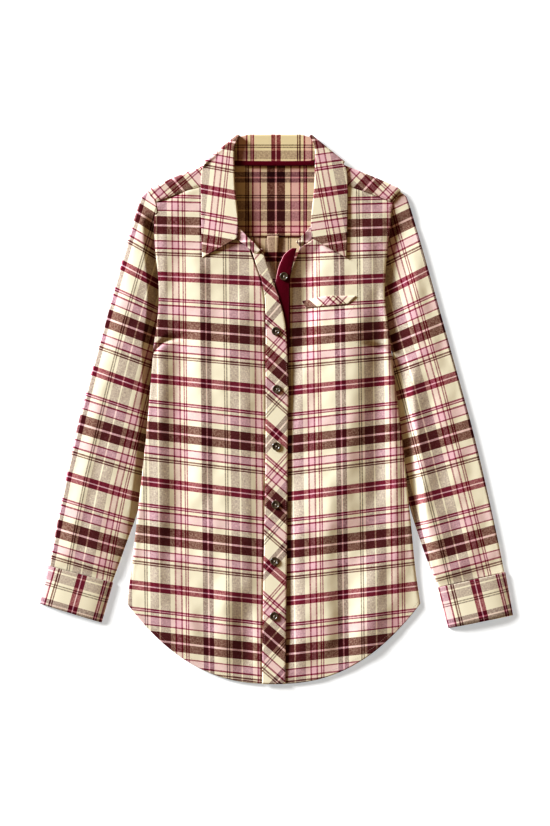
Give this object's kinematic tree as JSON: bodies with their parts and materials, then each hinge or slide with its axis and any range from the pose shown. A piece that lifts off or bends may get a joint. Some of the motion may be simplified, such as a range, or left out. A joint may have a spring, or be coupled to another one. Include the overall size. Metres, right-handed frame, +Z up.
{
  "type": "flannel shirt tunic",
  "caption": "Long-sleeved plaid flannel shirt tunic with turn-down collar, open neck, button placket and shirt-tail hem, lying flat front up.",
  "frame": {"origin": "on the resting surface, under the middle of the outline", "axes": "+Z up from the surface through the front of the garment, +Y from hem to collar, +X to the wearer's left"},
  "size_m": [0.6706, 0.7794, 0.0096],
  "materials": {
    "flannel": "brushed plaid cotton flannel, matt",
    "burgundy": "plain burgundy cotton, matt",
    "button": "horn-look resin, semi-gloss"
  },
  "bodies": {
    "root": {"back_panel": "flannel", "yoke": "flannel", "front_right": "flannel", "front_left": "flannel", "placket_band": "flannel", "placket_facing": "burgundy", "collar_leaf": "flannel", "collar_stand": "flannel", "neck_tape": "burgundy", "sleeve_right": "flannel", "sleeve_left": "flannel", "cuff_right": "flannel", "cuff_left": "flannel", "pocket_welt": "flannel", "button_1": "button", "button_2": "button", "button_3": "button", "button_4": "button", "button_5": "button", "button_6": "button", "button_7": "button"}
  },
  "joints": []
}
